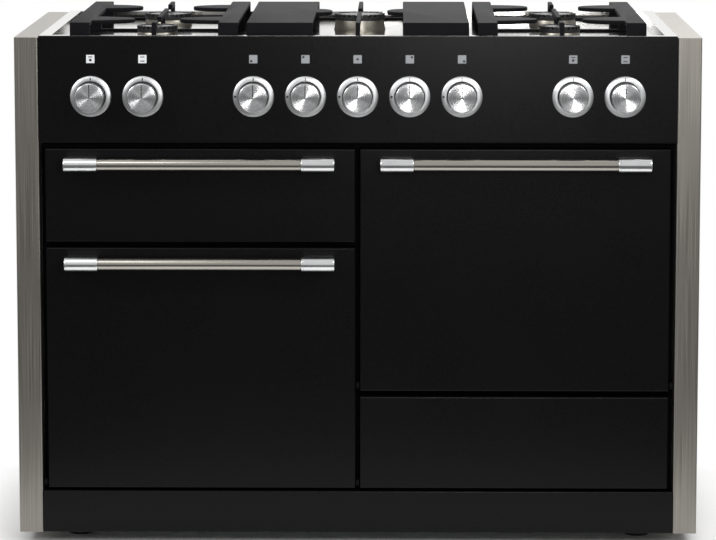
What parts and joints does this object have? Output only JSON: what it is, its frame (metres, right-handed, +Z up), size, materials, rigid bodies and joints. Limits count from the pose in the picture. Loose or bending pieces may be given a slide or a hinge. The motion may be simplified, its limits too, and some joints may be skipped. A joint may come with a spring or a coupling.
{
  "type": "gas range cooker",
  "caption": "Wide free-standing range cooker with a gas hob, pull-out grill, drop-down oven doors, storage drawer, turning knobs and steel side panels.",
  "frame": {"origin": "on the floor, at the middle of the overall width and depth", "axes": "+X to the right seen from the front, +Y towards the back, +Z up"},
  "size_m": [1.2, 0.648, 0.924],
  "materials": {
    "brushed steel": "vertical brushed grain",
    "polished steel": "bright hob plate",
    "black enamel": "satin black",
    "dark enamel": "vitreous enamel",
    "galvanised steel": "dull zinc",
    "cast iron": "matt black",
    "satin aluminium": "spun and brushed",
    "chrome": "bright",
    "brass": "plain",
    "black plastic": "matt",
    "rubber": "soft seal",
    "ceramic white": "glazed"
  },
  "bodies": {
    "cabinet": {"side_panel_left": "brushed steel", "side_panel_right": "brushed steel", "base_tray": "galvanised steel", "front_frame": "dark enamel", "back_panel": "galvanised steel", "cable_housing": "black plastic", "plinth": "black enamel", "control_panel": "black enamel", "hob_plate": "polished steel", "oven_liners": "dark enamel", "grill_liner": "dark enamel", "grill_element": "galvanised steel", "oven_racks": "chrome", "fan_covers": "dark enamel", "fan_motors": "galvanised steel", "oven_seals": "rubber", "burner_bases": "galvanised steel", "burner_heads": "cast iron", "burner_caps": "cast iron", "ignition_probes": "ceramic white", "gas_pipework": "brass", "gas_taps": "brass", "oven_switches": "black plastic", "knob_bezels": "satin aluminium", "hinge_lugs": "galvanised steel", "runner_rails": "galvanised steel", "levelling_feet": "black plastic", "back_screws": "galvanised steel"},
    "oven_door_left": {"oven_door_left": "black enamel", "oven_door_inner_left": "dark enamel", "oven_handle_left": "satin aluminium"},
    "oven_door_right": {"oven_door_right": "black enamel", "oven_door_inner_right": "dark enamel", "oven_handle_right": "satin aluminium"},
    "grill": {"grill_front": "black enamel", "grill_handle": "satin aluminium", "grill_carriage": "dark enamel", "grill_pan": "dark enamel"},
    "grill_rails": {"grill_rails_mid": "galvanised steel"},
    "drawer": {"drawer_front": "black enamel", "drawer_box": "dark enamel"},
    "oven_fan_left": {"oven_fan_left": "galvanised steel"},
    "oven_fan_right": {"oven_fan_right": "galvanised steel"},
    "pan_support_left": {"pan_support_left": "cast iron"},
    "pan_support_middle": {"pan_support_middle": "cast iron"},
    "pan_support_right": {"pan_support_right": "cast iron"},
    "tap_spindle_1": {"tap_spindle_1": "brass"},
    "gas_knob_1": {"gas_knob_1": "satin aluminium"},
    "tap_spindle_2": {"tap_spindle_2": "brass"},
    "gas_knob_2": {"gas_knob_2": "satin aluminium"},
    "tap_spindle_3": {"tap_spindle_3": "brass"},
    "gas_knob_3": {"gas_knob_3": "satin aluminium"},
    "tap_spindle_4": {"tap_spindle_4": "brass"},
    "gas_knob_4": {"gas_knob_4": "satin aluminium"},
    "tap_spindle_5": {"tap_spindle_5": "brass"},
    "gas_knob_5": {"gas_knob_5": "satin aluminium"},
    "oven_knob_1": {"oven_knob_1": "satin aluminium"},
    "oven_knob_2": {"oven_knob_2": "satin aluminium"},
    "oven_knob_3": {"oven_knob_3": "satin aluminium"},
    "oven_knob_4": {"oven_knob_4": "satin aluminium"}
  },
  "joints": [
    {"name": "left_oven_door", "type": "hinge", "parent": "cabinet", "child": "oven_door_left", "pos_m": [-0.276, -0.267, 0.109], "axis": [1, 0, 0], "range_deg": [0, 90]},
    {"name": "right_oven_door", "type": "hinge", "parent": "cabinet", "child": "oven_door_right", "pos_m": [0.276, -0.267, 0.284], "axis": [1, 0, 0], "range_deg": [0, 90]},
    {"name": "grill_slide", "type": "slide", "parent": "cabinet", "child": "grill", "axis": [0, -1, 0], "range_m": [0, 0.3]},
    {"name": "grill_rail_slide", "type": "slide", "parent": "cabinet", "child": "grill_rails", "axis": [0, -1, 0], "range_m": [0, 0.15]},
    {"name": "drawer_slide", "type": "slide", "parent": "cabinet", "child": "drawer", "axis": [0, -1, 0], "range_m": [0, 0.36]},
    {"name": "left_fan_spin", "type": "hinge", "parent": "cabinet", "child": "oven_fan_left", "pos_m": [-0.276, 0.2, 0.317], "axis": [0, 1, 0], "continuous": true},
    {"name": "right_fan_spin", "type": "hinge", "parent": "cabinet", "child": "oven_fan_right", "pos_m": [0.276, 0.2, 0.492], "axis": [0, 1, 0], "continuous": true},
    {"name": "pan_support_left_lift", "type": "slide", "parent": "cabinet", "child": "pan_support_left", "axis": [0, 0, 1], "range_m": [0, 0.15]},
    {"name": "pan_support_middle_lift", "type": "slide", "parent": "cabinet", "child": "pan_support_middle", "axis": [0, 0, 1], "range_m": [0, 0.15]},
    {"name": "pan_support_right_lift", "type": "slide", "parent": "cabinet", "child": "pan_support_right", "axis": [0, 0, 1], "range_m": [0, 0.15]},
    {"name": "gas_tap_1_push", "type": "slide", "parent": "cabinet", "child": "tap_spindle_1", "axis": [0, 1, 0], "range_m": [0, 0.005], "stiffness_N_per_m": 1500, "springref_m": -0.002},
    {"name": "gas_knob_1_turn", "type": "hinge", "parent": "tap_spindle_1", "child": "gas_knob_1", "pos_m": [-0.182, -0.29, 0.797], "axis": [0, -1, 0], "range_deg": [0, 180]},
    {"name": "gas_tap_2_push", "type": "slide", "parent": "cabinet", "child": "tap_spindle_2", "axis": [0, 1, 0], "range_m": [0, 0.005], "stiffness_N_per_m": 1500, "springref_m": -0.002},
    {"name": "gas_knob_2_turn", "type": "hinge", "parent": "tap_spindle_2", "child": "gas_knob_2", "pos_m": [-0.091, -0.29, 0.797], "axis": [0, -1, 0], "range_deg": [0, 180]},
    {"name": "gas_tap_3_push", "type": "slide", "parent": "cabinet", "child": "tap_spindle_3", "axis": [0, 1, 0], "range_m": [0, 0.005], "stiffness_N_per_m": 1500, "springref_m": -0.002},
    {"name": "gas_knob_3_turn", "type": "hinge", "parent": "tap_spindle_3", "child": "gas_knob_3", "pos_m": [0, -0.29, 0.797], "axis": [0, -1, 0], "range_deg": [0, 180]},
    {"name": "gas_tap_4_push", "type": "slide", "parent": "cabinet", "child": "tap_spindle_4", "axis": [0, 1, 0], "range_m": [0, 0.005], "stiffness_N_per_m": 1500, "springref_m": -0.002},
    {"name": "gas_knob_4_turn", "type": "hinge", "parent": "tap_spindle_4", "child": "gas_knob_4", "pos_m": [0.091, -0.29, 0.797], "axis": [0, -1, 0], "range_deg": [0, 180]},
    {"name": "gas_tap_5_push", "type": "slide", "parent": "cabinet", "child": "tap_spindle_5", "axis": [0, 1, 0], "range_m": [0, 0.005], "stiffness_N_per_m": 1500, "springref_m": -0.002},
    {"name": "gas_knob_5_turn", "type": "hinge", "parent": "tap_spindle_5", "child": "gas_knob_5", "pos_m": [0.182, -0.29, 0.797], "axis": [0, -1, 0], "range_deg": [0, 180]},
    {"name": "oven_knob_1_turn", "type": "hinge", "parent": "cabinet", "child": "oven_knob_1", "pos_m": [-0.4665, -0.29, 0.797], "axis": [0, -1, 0], "range_deg": [-270, 0]},
    {"name": "oven_knob_2_turn", "type": "hinge", "parent": "cabinet", "child": "oven_knob_2", "pos_m": [-0.3755, -0.29, 0.797], "axis": [0, -1, 0], "range_deg": [-270, 0]},
    {"name": "oven_knob_3_turn", "type": "hinge", "parent": "cabinet", "child": "oven_knob_3", "pos_m": [0.3755, -0.29, 0.797], "axis": [0, -1, 0], "range_deg": [-270, 0]},
    {"name": "oven_knob_4_turn", "type": "hinge", "parent": "cabinet", "child": "oven_knob_4", "pos_m": [0.4665, -0.29, 0.797], "axis": [0, -1, 0], "range_deg": [-270, 0]}
  ],
  "couplings": [
    {"joint": "grill_rail_slide", "follows": "grill_slide", "ratio": 0.5}
  ]
}
